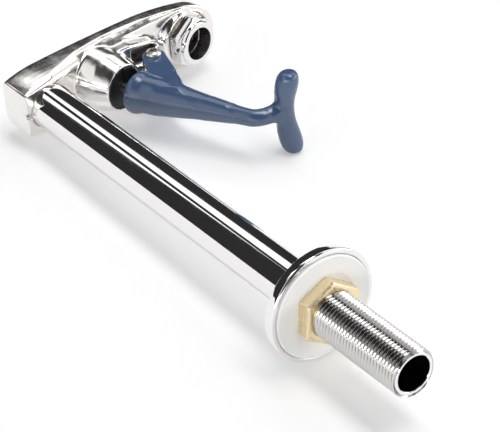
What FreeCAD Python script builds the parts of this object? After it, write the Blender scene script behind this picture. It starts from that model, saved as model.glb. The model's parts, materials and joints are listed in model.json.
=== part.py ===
# Deck-mounted glass filler faucet with a push-back lever
# Frame: millimetres, +Z up along the column, the nozzle towards -Y, X across the arm.
# The origin is on the column's axis at the deck, under the flange washer.
import FreeCAD
import Part
import math
import os
import re
import Sketcher

V = FreeCAD.Vector
doc = FreeCAD.newDocument("glass_filler_faucet")

# Sizes
sheet = doc.addObject("Spreadsheet::Sheet", "Sizes")
SIZES = (
    # column pipe
    ("pipe_od", 21.3), ("pipe_wall", 2.75), ("thread_skim", 0.2), ("shank_length", 55.0),
    ("thread_pitch", 1.814), ("thread_depth", 1.15), ("thread_land", 0.3), ("thread_root", 0.25),
    ("thread_above_deck", 7.5), ("column_height", 199.6), ("socket_depth", 9.9), ("end_chamfer", 0.8),
    # clearances
    ("thread_play", 0.05), ("slide_play", 0.05), ("loose_play", 0.25), ("seat_gap", 0.02),
    # deck flange, washer and nut
    ("flange_radius", 25.5), ("flange_taper", 0.8), ("flange_lift", 0.9), ("flange_side", 5.2),
    ("flange_cone", 2.6), ("flange_hub_radius", 13.4), ("flange_chamfer", 0.6),
    ("washer_radius", 23.0), ("washer_thick", 2.2), ("washer_rim_play", 0.3), ("washer_recess", 0.3),
    ("flange_seal_cord", 1.8), ("flange_seal_drop", 0.6),
    ("nut_across_flats", 25.4), ("nut_thick", 6.3), ("nut_gap", 0.1), ("nut_turn", 7.0),
    ("nut_chamfer", 1.0), ("nut_play", 0.6),
    # arm, in plan and section
    ("tail_y", 13.5), ("tail_half", 10.7), ("flare_y", -2.5), ("flare_half", 14.3),
    ("wide_y", -58.0), ("wide_half", 16.6), ("nose_y", -80.0), ("nose_radius", 16.0),
    ("flare_arc", 56.0), ("flank_arc", 900.0), ("cheek_arc", 400.0), ("crown_y", -55.0),
    ("crown_arc", 100.0), ("belly_y", -62.0), ("waist_y", -36.0), ("throat_y", -20.0),
    ("heel_y", -4.0), ("top_round", 3.2), ("under_round", 4.2), ("tail_round", 0.8),
    ("flank_swell", 0.8), ("socket_flare", 0.9),
    # tilt that the nozzle and the valve share
    ("tilt", 13.3),
    # valve housing
    ("valve_y", -33.2), ("mouth_radius", 11.2), ("housing_mid", 13.9), ("housing_mid_at", 9.0),
    ("housing_flare", 15.0), ("housing_height", 20.0), ("mouth_bore", 20.4), ("mouth_depth", 4.0),
    ("bonnet_thread", 19.0), ("bonnet_reach", 8.4), ("chamber_bore", 15.2), ("chamber_top", 15.6),
    ("seat_thread", 14.0), ("seat_ledge", 18.9), ("upper_bore", 12.0), ("upper_top", 26.4),
    # waterways
    ("inlet_bore", 6.2), ("well_margin", 0.1), ("outlet_bore", 4.6), ("outlet_height", 11.0),
    # hood, lug and recess for the lever
    ("hood_back_y", -34.0), ("hood_half", 12.5), ("hood_mid_half", 11.0), ("hood_side_y", -58.0),
    ("hood_side_half", 9.4), ("hood_front_y", -64.2), ("hood_front_half", 4.6), ("hood_wall", 2.3),
    ("recess_back_y", -45.0), ("pivot_y", -52.3), ("lug_radius", 4.7), ("lug_half", 4.2),
    ("lug_back_y", -43.0), ("lug_front_y", -61.0),
    # nozzle boss and nozzle
    ("nozzle_y", -81.0), ("lip_radius", 10.7), ("lip_height", 2.0),
    ("nozzle_bore", 15.8), ("nozzle_bore_depth", 7.2), ("hex_across_flats", 22.4),
    ("hex_top", 8.0), ("nozzle_gasket_thick", 0.8), ("spigot_thread", 17.0), ("spigot_top", 12.2),
    ("spigot_bore", 11.0), ("boss_radius", 13.4), ("boss_flare", 15.0), ("boss_height", 5.6),
    ("boss_round", 0.8), ("nozzle_well_top", 14.4), ("nozzle_well_radius", 6.0),
    ("straightener_thick", 1.6), ("straightener_hole", 1.5), ("straightener_ring", 4.6),
    ("straightener_step", 0.5), ("straightener_sink", 0.4), ("lip_chamfer", 0.5), ("seat_play", 0.7),
    # valve parts
    ("bonnet_sink", 0.2), ("bonnet_gasket_thick", 0.8), ("bonnet_cup", 10.4),
    ("bonnet_cup_floor", 4.7), ("gland_bore", 9.0), ("gland_floor", 1.1), ("gland_top", 3.1),
    ("slot_wide", 1.8), ("slot_deep", 0.6),
    ("stem_radius", 2.5), ("stem_drop", 6.4), ("stem_disc_radius", 5.2), ("stem_disc_thick", 1.2),
    ("seal_radius", 5.0), ("seal_thick", 2.0), ("seal_rest", 19.7),
    ("seat_hole", 7.2), ("seat_lip_radius", 4.9), ("seat_bottom", 15.6), ("seat_groove_z", 16.6),
    ("seat_ring_cord", 1.5), ("seat_ring_sink", 1.3),
    ("retainer_radius", 4.7), ("retainer_thick", 1.2), ("retainer_z", 5.2), ("retainer_groove", 0.4),
    ("spring_wire", 0.9), ("spring_radius", 4.15), ("spring_turns", 5.0),
    ("stem_ring_cord", 1.85), ("stem_dome", 0.7),
    # lever
    ("lever_drop", 6.7), ("lever_base_round", 0.8), ("lever_base_rim", 3.0),
    ("lever_base_neck", 7.2), ("lever_base_depth", 10.0), ("lever_base_radius", 10.2),
    ("lever_base_shift", 0.9), ("elbow_y", -61.0), ("knee_y", -64.6), ("bar_y", -75.4),
    ("neck_radius", 5.2), ("shoulder_at", 12.0), ("shoulder_radius", 9.0),
    ("arm_mid_at", 32.0), ("arm_mid_radius", 6.5), ("arm_end_at", 52.0), ("arm_end_radius", 4.4),
    ("arm_tip_radius", 4.1), ("fork_half", 8.2), ("fork_play", 0.25), ("ear_radius", 5.6),
    ("ear_front_y", -50.5), ("slot_play", 0.8), ("bar_half", 20.7), ("bar_lobe_x", 15.2),
    ("bar_lobe_radius", 5.3), ("bar_mid_radius", 4.5), ("bar_sweep", 2.0),
    # pivot and lever pad
    ("pin_radius", 2.0), ("bush_wall", 0.8), ("head_radius", 3.6), ("head_thick", 2.4),
    ("head_round", 0.9), ("cross_wide", 0.9), ("cross_long", 4.2), ("cross_deep", 1.2),
    ("pad_radius", 4.5), ("pad_thick", 1.8),
    # joint screw
    ("grub_radius", 1.25), ("grub_length", 3.0), ("grub_key", 1.3), ("grub_key_deep", 1.1),
    ("grub_lean", 45.0),
    # gasket under the pipe
    ("pipe_gasket_thick", 1.2),
)
# Heights in the head and the lever, above the top of the column
RISES = (
    ("arm_top", 20.05), ("nose_under", 7.8), ("belly_z", 8.9), ("waist_z", 7.8), ("throat_z", 5.6),
    ("heel_z", 1.3), ("valve_z", -9.4), ("inlet_z", 14.1), ("well_top", 17.3),
    ("hood_under", 1.2), ("hood_front_under", 5.8), ("recess_roof", 7.6), ("pivot_z", -6.2),
    ("lug_back_z", -2.4), ("lug_front_z", 4.0), ("nozzle_z", -1.2), ("elbow_z", -70.2),
    ("knee_z", -72.3), ("bar_z", -74.4), ("ear_front_z", -31.6), ("ear_back_z", -15.1),
)
# Diameters that follow the pipe: its bore, the thread's crest, and the middle of the thread's
# depth, where a thread and its mate meet
FOLLOWERS = {
    "pipe_bore": "( pipe_od - pipe_wall * 2 )",
    "thread_major": "( pipe_od - thread_skim * 2 )",
    "thread_mid": "( pipe_od - thread_skim * 2 - thread_depth )",
}
for row, (alias, value) in enumerate(SIZES + RISES, 1):
    sheet.set("A%d" % row, alias)
    sheet.set("B%d" % row, str(value))
    sheet.setAlias("B%d" % row, alias)
doc.recompute()


HEIGHTS = {alias for alias, value in RISES}
ALIASES = {alias for alias, value in SIZES}


def size(alias):
    value = float(sheet.get(alias))
    return value + float(sheet.get("column_height")) if alias in HEIGHTS else value


def cell(match):
    word = match[0]
    if word in FOLLOWERS:
        return bound(FOLLOWERS[word])
    if word in HEIGHTS:
        return "( Sizes.column_height + Sizes.%s )" % word
    return "Sizes." + word if word in ALIASES else word


def bound(text):
    """Write the names of sizes in a formula as cells of the sheet."""
    return re.sub("[a-z_]+", cell, text)


# Sketch helpers
def plane(body, role):
    return next(f for f in body.Origin.OriginFeatures if f.Role == role)


def new_body(label):
    body = doc.addObject("PartDesign::Body", label)
    body.Label = label
    return body


def new_sketch(body, name, role, y=None, z=None, turn=None, lift=None, axis=V(0, 0, -1)):
    """A sketch on an origin plane. On YZ it can be moved and tilted with the valve or the nozzle."""
    sketch = body.newObject("Sketcher::SketchObject", name)
    sketch.AttachmentSupport = [(plane(body, role), "")]
    sketch.MapMode = "FlatFace"
    if turn:
        sketch.AttachmentOffset = FreeCAD.Placement(V(0, 0, 0), FreeCAD.Rotation(axis, 30))
        sketch.setExpression("AttachmentOffset.Rotation.Angle", bound(turn))
    if y:
        sketch.setExpression("AttachmentOffset.Base.x", bound(y))
    if z:
        sketch.setExpression("AttachmentOffset.Base.y", bound(z))
    if lift:
        sketch.setExpression("AttachmentOffset.Base.z", bound(lift))
    return sketch


def pin_point(sketch, geo, end, x, y):
    """Hold a point at a place given by two formulas, or one of them, from where it is drawn."""
    drawn = sketch.getPoint(geo, end)
    for kind, text, axis, start in (("DistanceX", x, -2, drawn.x), ("DistanceY", y, -1, drawn.y)):
        if text is None:
            continue
        if text == "0":
            sketch.addConstraint(Sketcher.Constraint("PointOnObject", geo, end, axis))
            continue
        index = sketch.addConstraint(Sketcher.Constraint(kind, -1, 1, geo, end, start))
        sketch.setExpression("Constraints[%d]" % index, bound(text))


def polygon(sketch, points):
    """A closed outline with straight sides through points given by formulas."""
    first = len(sketch.Geometry)
    count = len(points)
    ring = [V(50 * math.cos(math.tau * i / count), 50 * math.sin(math.tau * i / count), 0)
            for i in range(count)]
    for i in range(count):
        sketch.addGeometry(Part.LineSegment(ring[i], ring[(i + 1) % count]), False)
    for i in range(count):
        after = first + (i + 1) % count
        sketch.addConstraint(Sketcher.Constraint("Coincident", first + i, 2, after, 1))
    for i, (x, y) in enumerate(points):
        pin_point(sketch, first + i, 1, x, y)


def circle(sketch, radius, x="0", y="0"):
    geo = sketch.addGeometry(Part.Circle(V(1, 1, 0), V(0, 0, 1), 1), False)
    if x == "0" and y == "0":
        sketch.addConstraint(Sketcher.Constraint("Coincident", geo, 3, -1, 1))
    else:
        pin_point(sketch, geo, 3, x, y)
    index = sketch.addConstraint(Sketcher.Constraint("Radius", geo, 1.0))
    sketch.setExpression("Constraints[%d]" % index, bound(radius))
    return geo


def settle(body, feature):
    """Make the feature the body's tip and stop at once if it fails."""
    body.Tip = feature
    doc.recompute()
    if "Invalid" in feature.State or feature.Shape.isNull():
        raise SystemExit("%s fails: %s" % (feature.Name, feature.getStatusString()))
    return feature


def revolve(body, name, points, kind="Revolution", role="XZ_Plane", **where):
    sketch = new_sketch(body, name + "Profile", role, **where)
    polygon(sketch, points)
    feature = body.newObject("PartDesign::" + kind, name)
    feature.Profile = sketch
    feature.ReferenceAxis = (sketch, ["V_Axis"])
    feature.Angle = 360
    return settle(body, feature)


def pad(body, name, sketch, length, kind="Pad", midplane=True, reversed_=False):
    feature = body.newObject("PartDesign::" + kind, name)
    feature.Profile = sketch
    feature.setExpression("Length", bound(length))
    feature.Midplane = midplane
    feature.Reversed = reversed_
    return settle(body, feature)


def tilted(body, y="valve_y", z="valve_z"):
    """Stand a body on the tilted axis of the valve or the nozzle."""
    body.Placement = FreeCAD.Placement(V(0, size(y), size(z)), FreeCAD.Rotation(V(-1, 0, 0), size("tilt")))
    body.setExpression("Placement.Base.y", bound(y))
    body.setExpression("Placement.Base.z", bound(z))
    body.setExpression("Placement.Rotation.Angle", bound("tilt"))


def turned(label, points, lean=None):
    """A body turned about its own Z axis."""
    body = new_body(label)
    if lean:
        tilted(body, *lean)
    revolve(body, "Turned" + label.title().replace("_", ""), points)
    return body


def ring(label, cord, centre, height, lean=None):
    """An O-ring: the cord's diameter, the radius of its centre circle and its height."""
    body = new_body(label)
    if lean:
        tilted(body, *lean)
    sketch = new_sketch(body, label.title().replace("_", "") + "Cord", "XZ_Plane")
    circle(sketch, cord + " / 2", centre, height)
    feature = body.newObject("PartDesign::Revolution", label.title().replace("_", "") + "Ring")
    feature.Profile = sketch
    feature.ReferenceAxis = (sketch, ["V_Axis"])
    feature.Angle = 360
    settle(body, feature)
    return body


VALVE = ("valve_y", "valve_z")
NOZZLE = ("nozzle_y", "nozzle_z")

# Column pipe: plain column above the deck, threaded shank below, threaded top end in the arm.
# The shank's free thread has ribs; inside the nut, the flange and the arm the pipe is turned to
# the middle of the thread's depth.
NUT_FOOT = "washer_recess - nut_gap - nut_thick"
FREE_TOP = "( washer_recess - nut_gap - nut_thick - nut_play )"
pipe = turned("column_pipe", (
    ("pipe_bore / 2", "0 - shank_length"),
    ("thread_major / 2 - end_chamfer", "0 - shank_length"),
    ("thread_major / 2", "end_chamfer - shank_length"),
    ("thread_major / 2", FREE_TOP),
    ("thread_mid / 2", FREE_TOP),
    ("thread_mid / 2", "thread_above_deck"),
    ("pipe_od / 2", "thread_above_deck + ( pipe_od - thread_mid ) / 2"),
    ("pipe_od / 2", "column_height - seat_gap"),
    ("thread_mid / 2", "column_height - seat_gap"),
    ("thread_mid / 2", "column_height + socket_depth - end_chamfer"),
    ("thread_mid / 2 - end_chamfer", "column_height + socket_depth"),
    ("pipe_bore / 2", "column_height + socket_depth"),
))
FIRST = "end_chamfer - shank_length + thread_land"
revolve(pipe, "ThreadGroove", (
    ("thread_major / 2 + thread_skim", FIRST),
    ("thread_major / 2 + thread_skim", FIRST + " + thread_pitch - thread_land"),
    ("thread_major / 2", FIRST + " + thread_pitch - thread_land"),
    ("thread_major / 2 - thread_depth", FIRST + " + ( thread_pitch - thread_land + thread_root ) / 2"),
    ("thread_major / 2 - thread_depth", FIRST + " + ( thread_pitch - thread_land - thread_root ) / 2"),
    ("thread_major / 2", FIRST),
), kind="Groove")
thread = pipe.newObject("PartDesign::LinearPattern", "ShankThread")
thread.Originals = [pipe.Tip]
thread.Direction = (plane(pipe, "Z_Axis"), [""])
TURNS = "floor(( %s + shank_length - end_chamfer - thread_land ) / thread_pitch)" % FREE_TOP
thread.setExpression("Occurrences", bound(TURNS))
thread.setExpression("Length", bound("( %s - 1 ) * thread_pitch" % TURNS))
settle(pipe, thread)

turned("pipe_gasket", (
    ("pipe_bore / 2", "column_height + socket_depth + seat_gap"),
    ("thread_mid / 2 - loose_play", "column_height + socket_depth + seat_gap"),
    ("thread_mid / 2 - loose_play", "column_height + socket_depth + pipe_gasket_thick - seat_gap"),
    ("pipe_bore / 2", "column_height + socket_depth + pipe_gasket_thick - seat_gap"),
))

# Deck flange: tapered rim, recess for the washer, thread on the pipe, groove for its seal
BORE = "thread_mid / 2 + thread_play"
turned("base_flange", (
    (BORE, "washer_thick"),
    ("washer_radius + washer_rim_play", "washer_thick"),
    ("washer_radius + washer_rim_play", "flange_lift"),
    ("flange_radius - flange_chamfer", "flange_lift"),
    ("flange_radius", "flange_lift + flange_chamfer"),
    ("flange_radius - flange_taper", "flange_lift + flange_side"),
    ("flange_radius - flange_taper - flange_chamfer", "flange_lift + flange_side + flange_chamfer / 2"),
    ("flange_hub_radius", "flange_lift + flange_side + flange_cone"),
    ("pipe_od / 2 + loose_play", "flange_lift + flange_side + flange_cone"),
    ("pipe_od / 2 + loose_play", "thread_above_deck"),
    (BORE, "thread_above_deck"),
    (BORE, "washer_thick + flange_seal_drop + flange_seal_cord"),
    ("thread_mid / 2 + flange_seal_cord + seat_gap", "washer_thick + flange_seal_drop + flange_seal_cord"),
    ("thread_mid / 2 + flange_seal_cord + seat_gap", "washer_thick + flange_seal_drop"),
    (BORE, "washer_thick + flange_seal_drop"),
))
ring("flange_seal", "( flange_seal_cord - seat_gap )", "( thread_mid + flange_seal_cord + seat_gap ) / 2",
     "washer_thick + flange_seal_drop + flange_seal_cord / 2")

# Its washer has a shallow recess that the nut draws up into
NUT_CORNER = "nut_across_flats / 2 / cos(30 deg)"
turned("flange_washer", (
    ("thread_major / 2 + loose_play", "washer_recess"),
    (NUT_CORNER + " + nut_play", "washer_recess"),
    (NUT_CORNER + " + nut_play", "0"),
    ("washer_radius - flange_chamfer", "0"),
    ("washer_radius", "flange_chamfer"),
    ("washer_radius", "washer_thick"),
    ("thread_major / 2 + loose_play", "washer_thick"),
))

# Lock nut: a hexagon with both faces chamfered round its corners
nut = new_body("lock_nut")
nut.Placement = FreeCAD.Placement(V(0, 0, 0), FreeCAD.Rotation(V(0, 0, 1), size("nut_turn")))
nut.setExpression("Placement.Rotation.Angle", bound("nut_turn"))
NUT_HEAD = "washer_recess - nut_gap"
revolve(nut, "NutBlank", (
    (BORE, NUT_HEAD),
    (NUT_CORNER + " - nut_chamfer", NUT_HEAD),
    (NUT_CORNER, NUT_HEAD + " - nut_chamfer / 2"),
    (NUT_CORNER, NUT_FOOT + " + nut_chamfer / 2"),
    (NUT_CORNER + " - nut_chamfer", NUT_FOOT),
    (BORE, NUT_FOOT),
))


def hexagon_trim(body, name, flats, reach, bottom, top):
    """Cut a turned blank to a hexagon by pocketing all that lies outside it."""
    sketch = new_sketch(body, name + "Outline", "XY_Plane", lift=bottom)
    corner = "( %s ) / 2 / cos(30 deg)" % flats
    half = "( %s ) / 2" % flats
    side = "( %s ) / 4 / cos(30 deg)" % flats
    polygon(sketch, (
        (corner, "0"), (side, half), ("0 - " + side, half), ("0 - " + corner, "0"),
        ("0 - " + side, "0 - " + half), (side, "0 - " + half),
    ))
    circle(sketch, reach)
    cut = body.newObject("PartDesign::Pocket", name)
    cut.Profile = sketch
    cut.setExpression("Length", bound("( %s ) - ( %s )" % (top, bottom)))
    cut.Reversed = True
    return settle(body, cut)


hexagon_trim(nut, "NutFlats", "nut_across_flats", "nut_across_flats", NUT_FOOT, NUT_HEAD)

# Arm casting: side profile of the arm, trimmed to its plan outline
arm = new_body("head_casting")
side = new_sketch(arm, "SideProfile", "YZ_Plane")
CROWN = size("crown_arc")
NOSE_TIP = size("nose_y") - size("nose_radius") * 1.25
crown_drop = CROWN - math.sqrt(CROWN ** 2 - (size("crown_y") - NOSE_TIP) ** 2)
tail_top = V(size("tail_y"), size("arm_top"), 0)
crown_start = V(size("crown_y"), size("arm_top"), 0)
crown_end = V(NOSE_TIP, size("arm_top") - crown_drop, 0)
middle_y = (size("crown_y") + NOSE_TIP) / 2
crown_mid = V(middle_y,
    size("arm_top") - CROWN + math.sqrt(CROWN ** 2 - (size("crown_y") - middle_y) ** 2), 0)
under = [V(NOSE_TIP, size("nose_under"), 0)]
under += [V(size(a + "_y"), size(a + "_z"), 0) for a in ("belly", "waist", "throat", "heel")]
under.append(V(size("tail_y"), size("column_height"), 0))
side.addGeometry(Part.LineSegment(tail_top, crown_start), False)
side.addGeometry(Part.Arc(crown_start, crown_mid, crown_end), False)
corners = [crown_end] + under + [tail_top]
for start, end in zip(corners, corners[1:]):
    side.addGeometry(Part.LineSegment(start, end), False)
last = len(side.Geometry) - 1
# the arc's own ends: 2 at its left end on the crown's start when drawn clockwise
arc_start, arc_end = (2, 1) if side.Geometry[1].StartPoint.x < side.Geometry[1].EndPoint.x else (1, 2)
side.addConstraint(Sketcher.Constraint("Coincident", 0, 2, 1, arc_start))
side.addConstraint(Sketcher.Constraint("Coincident", 1, arc_end, 2, 1))
for index in range(2, last):
    side.addConstraint(Sketcher.Constraint("Coincident", index, 2, index + 1, 1))
side.addConstraint(Sketcher.Constraint("Coincident", last, 2, 0, 1))
pin_point(side, 0, 1, "tail_y", "arm_top")
pin_point(side, 0, 2, "crown_y", "arm_top")
pin_point(side, 1, 3, "crown_y", "arm_top - crown_arc")
pin_point(side, 2, 2, "nose_y - nose_radius * 1.25", "nose_under")
side.addConstraint(Sketcher.Constraint("Vertical", 2))
for index, name in enumerate(("belly", "waist", "throat", "heel"), 3):
    pin_point(side, index, 2, name + "_y", name + "_z")
pin_point(side, last, 1, "tail_y", "column_height")
pad(arm, "ArmBar", side, "( wide_half + hood_half ) * 2")

plan = new_sketch(arm, "PlanOutline", "XY_Plane", lift="column_height - 20")
OUTLINE = (("tail_half", "tail_y"), ("flare_half", "flare_y"), ("wide_half", "wide_y"),
           ("nose_radius", "nose_y"))
right = [V(size(a), size(b), 0) for a, b in OUTLINE]
left = [V(-p.x, p.y, 0) for p in right]


def bulge(a, b, radius, sign):
    """The middle of an arc of that radius from a to b, bulging towards sign * X."""
    chord = b - a
    sagitta = radius - math.sqrt(radius ** 2 - (chord.Length / 2) ** 2)
    across = V(-chord.y, chord.x, 0)
    across.normalize()
    if across.x * sign < 0:
        across = across * -1
    return (a + b) * 0.5 + across * sagitta


ARCS = ("flare_arc", "flank_arc", "cheek_arc")
chain = [(Part.LineSegment(left[0], right[0]), left[0], right[0], None)]
for i, radius in enumerate(ARCS):
    middle = bulge(right[i], right[i + 1], size(radius), 1)
    chain.append((Part.Arc(right[i], middle, right[i + 1]), right[i], right[i + 1], radius))
tip = V(0, size("nose_y") - size("nose_radius"), 0)
chain.append((Part.Arc(right[3], tip, left[3]), right[3], left[3], "nose_radius"))
for i in (2, 1, 0):
    middle = bulge(left[i + 1], left[i], size(ARCS[i]), -1)
    chain.append((Part.Arc(left[i + 1], middle, left[i]), left[i + 1], left[i], ARCS[i]))
ends = []
for geometry, start, end, radius in chain:
    geo = plan.addGeometry(geometry, False)
    first_point = plan.getPoint(geo, 1)
    ends.append((1, 2) if (first_point - start).Length < (first_point - end).Length else (2, 1))
for i in range(len(chain)):
    j = (i + 1) % len(chain)
    plan.addConstraint(Sketcher.Constraint("Coincident", i, ends[i][1], j, ends[j][0]))
pin_point(plan, 0, ends[0][0], "0 - tail_half", "tail_y")
for i, (half, along) in enumerate(OUTLINE[:3]):
    pin_point(plan, i, ends[i][1], half, along)
for i, (half, along) in enumerate(OUTLINE[2:0:-1], 5):
    pin_point(plan, i, ends[i][1], "0 - " + half, along)
pin_point(plan, 4, 3, "0", "nose_y")
pin_point(plan, 4, ends[4][0], None, "nose_y")
pin_point(plan, 4, ends[4][1], None, "nose_y")
for i, (geometry, start, end, radius) in enumerate(chain):
    if radius:
        index = plan.addConstraint(Sketcher.Constraint("Radius", i, size(radius)))
        plan.setExpression("Constraints[%d]" % index, bound(radius))
polygon(plan, (("wide_half * 3", "tail_y * 3"), ("0 - wide_half * 3", "tail_y * 3"),
               ("0 - wide_half * 3", "nose_y - nose_radius * 3"),
               ("wide_half * 3", "nose_y - nose_radius * 3")))
pad(arm, "ArmPlan", plan, "arm_top - column_height + 40", kind="Pocket", midplane=False, reversed_=True)


def edges_where(body, test):
    """Names of the edges whose every sampled point passes the test."""
    names = []
    for number, edge in enumerate(body.Shape.Edges, 1):
        points = edge.discretize(5)
        if all(test(point) for point in points):
            names.append("Edge%d" % number)
    return names


def soften(body, name, radius, test):
    base = body.Tip
    feature = body.newObject("PartDesign::Fillet", name)
    feature.Base = (base, edges_where(body, test))
    feature.setExpression("Radius", bound(radius))
    return settle(body, feature)


def crown_height(y):
    if y > size("crown_y"):
        return size("arm_top")
    return size("arm_top") - CROWN + math.sqrt(max(CROWN ** 2 - (size("crown_y") - y) ** 2, 0))


def on_top_rim(point):
    return abs(point.z - crown_height(point.y)) < 0.05 and (abs(point.x) > 3 or point.y < -90)


soften(arm, "TopRound", "top_round", on_top_rim)


# Round both lower edges of the arm, most along its middle and fading out at the tail and the nose
def flank(y):
    return "( flare_half + ( wide_half - flare_half ) * ( flare_y - ( %s ) ) / ( flare_y - wide_y ) )" % y


STATIONS = (
    ("tail_y + 1", "tail_half", "column_height", "tail_round"),
    ("flare_y", "flare_half", "heel_z", "under_round * 0.6"),
    ("throat_y", flank("throat_y"), "throat_z", "under_round"),
    ("waist_y", flank("waist_y"), "waist_z", "under_round"),
    ("belly_y", flank("belly_y"), "belly_z", "under_round * 0.9"),
    ("nose_y", "nose_radius", "nose_under", "tail_round"),
)
for hand, sign in (("Right", ""), ("Left", "0 - ")):
    sections = []
    for number, (along, half, under_z, radius) in enumerate(STATIONS):
        section = new_sketch(arm, "Under%s%d" % (hand, number), "XZ_Plane", lift="0 - ( %s )" % along)
        outline = []
        for part in range(5):
            turn = "%g deg" % (22.5 * part)
            outline.append(("( %s - ( %s ) * ( 1 - sin(%s) ) )" % (half, radius, turn),
                            "%s + ( %s ) * ( 1 - cos(%s) )" % (under_z, radius, turn)))
        outline.append(("( %s + flank_swell )" % half, "%s + ( %s ) * 1.4" % (under_z, radius)))
        outline.append(("( %s + flank_swell * 4 )" % half, "%s + ( %s ) * 1.4" % (under_z, radius)))
        outline.append(("( %s + flank_swell * 4 )" % half, "%s - flank_swell * 2" % under_z))
        outline.append(("( %s - ( %s ) )" % (half, radius), "%s - flank_swell * 2" % under_z))
        polygon(section, [(sign + x, z) for x, z in outline])
        sections.append(section)
    rounding = arm.newObject("PartDesign::SubtractiveLoft", "Under%sRound" % hand)
    rounding.Profile = sections[0]
    rounding.Sections = [(section, [""]) for section in sections[1:]]
    rounding.Ruled = True
    settle(arm, rounding)

# Valve housing: a cone that grows into the arm
revolve(arm, "Housing", (
    ("0", "0"), ("mouth_radius", "0"), ("housing_mid", "housing_mid_at"),
    ("housing_flare", "housing_height"), ("0", "housing_height"),
), role="YZ_Plane", y="valve_y", z="valve_z", turn="tilt")

# Nozzle boss
revolve(arm, "Boss", (
    ("0", "hex_top + nozzle_gasket_thick"),
    ("boss_radius - boss_round", "hex_top + nozzle_gasket_thick"),
    ("boss_radius", "hex_top + nozzle_gasket_thick + boss_round"),
    ("boss_flare", "hex_top + nozzle_gasket_thick + boss_height"),
    ("0", "hex_top + nozzle_gasket_thick + boss_height"),
), role="YZ_Plane", y="nozzle_y", z="nozzle_z", turn="tilt")

# Hood over the lever's fork, an arch in plan that runs from the housing to the boss
SIDES = (("hood_half", "hood_back_y"), ("hood_half", "recess_back_y"), ("hood_mid_half", "pivot_y"),
         ("hood_side_half", "hood_side_y"), ("hood_front_half", "hood_front_y"))


def arch(points, inset=""):
    """Both sides of an outline given by one side's half widths, drawn in by a wall."""
    return ([(half + inset, y) for half, y in points]
            + [("0 - ( %s%s )" % (half, inset), y) for half, y in reversed(points)])


hood = new_sketch(arm, "HoodPlan", "XY_Plane", lift="hood_under")
polygon(hood, arch(SIDES))
pad(arm, "Hood", hood, "waist_z - hood_under + under_round", midplane=False)
slope = new_sketch(arm, "HoodSlope", "YZ_Plane")
polygon(slope, (("recess_back_y - 2", "hood_under"), ("hood_front_y - 2", "hood_front_under"),
                ("hood_front_y - 2", "hood_under - 1"), ("recess_back_y - 2", "hood_under - 1")))
pad(arm, "HoodUnderside", slope, "hood_half * 2 + 4", kind="Pocket")

# Recess for the fork, then the lug that carries the pivot and the outlet waterway
recess = new_sketch(arm, "RecessPlan", "XY_Plane", lift="recess_roof")
INNER = arch(SIDES[1:4], " - hood_wall")
FRONT = arch([("hood_front_half", "hood_front_y + hood_wall")])
polygon(recess, INNER[:3] + FRONT + INNER[3:])
pad(arm, "Recess", recess, "recess_roof - pivot_z + 12", kind="Pocket", midplane=False)
lug = new_sketch(arm, "LugSide", "YZ_Plane")
polygon(lug, (("lug_back_y", "recess_roof + 1"), ("lug_back_y", "lug_back_z"),
              ("pivot_y + lug_radius", "pivot_z"),
              ("pivot_y + lug_radius * 0.5", "pivot_z - lug_radius * 0.87"),
              ("pivot_y - lug_radius * 0.5", "pivot_z - lug_radius * 0.87"),
              ("pivot_y - lug_radius", "pivot_z"),
              ("lug_front_y", "lug_front_z"), ("nozzle_y + boss_radius * 0.7", "lug_front_z + 3"),
              ("nozzle_y + boss_radius * 0.7", "recess_roof + 3")))
pad(arm, "Lug", lug, "lug_half * 2")
lug_round = new_sketch(arm, "LugRound", "YZ_Plane")
circle(lug_round, "lug_radius", "pivot_y", "pivot_z")
pad(arm, "LugEye", lug_round, "lug_half * 2")


def bore(body, name, points, **where):
    before = body.Shape.Volume
    feature = revolve(body, name, points, kind="Groove", role="YZ_Plane", **where)
    if body.Shape.Volume > before - 0.5:
        raise SystemExit(name + " cuts nothing")
    return feature


# Column socket with a flared mouth, a seat for the gasket and the well above it
bore(arm, "Socket", (
    ("0", "column_height - 30"),
    ("pipe_od / 2 + socket_flare", "column_height - 30"),
    ("pipe_od / 2 + socket_flare", "column_height"),
    (BORE, "column_height + socket_flare"),
    (BORE, "column_height + socket_depth + pipe_gasket_thick"),
    ("pipe_bore / 2 + well_margin", "column_height + socket_depth + pipe_gasket_thick"),
    ("pipe_bore / 2 + well_margin", "well_top"),
    ("0", "well_top"),
))

# Valve bore, from the mouth to the upper chamber
bore(arm, "ValveBore", (
    ("0", "0 - 6"), ("mouth_bore / 2", "0 - 6"), ("mouth_bore / 2", "mouth_depth"),
    ("bonnet_thread / 2 + thread_play", "mouth_depth"),
    ("bonnet_thread / 2 + thread_play", "bonnet_reach + 0.4"),
    ("chamber_bore / 2", "bonnet_reach + 0.4"), ("chamber_bore / 2", "chamber_top"),
    ("seat_thread / 2 + thread_play", "chamber_top"), ("seat_thread / 2 + thread_play", "seat_ledge"),
    ("upper_bore / 2", "seat_ledge"), ("upper_bore / 2", "upper_top"), ("0", "upper_top"),
), y="valve_y", z="valve_z", turn="tilt")

# Seat for the nozzle's hexagon, with the arm's lip left standing in front of it, and the well above
SEAT = "hex_across_flats / 2 / cos(30 deg) + seat_play"
bore(arm, "NozzleSeat", (
    ("0", "0 - 6"), (SEAT, "0 - 6"), (SEAT, "hex_top + nozzle_gasket_thick"),
    ("0", "hex_top + nozzle_gasket_thick"),
), y="nozzle_y", z="nozzle_z", turn="tilt")
bore(arm, "NozzleWell", (
    ("0", "0"), ("spigot_thread / 2 + thread_play", "0"),
    ("spigot_thread / 2 + thread_play", "spigot_top + seat_gap"),
    ("nozzle_well_radius", "spigot_top + seat_gap"), ("nozzle_well_radius", "nozzle_well_top"),
    ("0", "nozzle_well_top"),
), y="nozzle_y", z="nozzle_z", turn="tilt")

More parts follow.
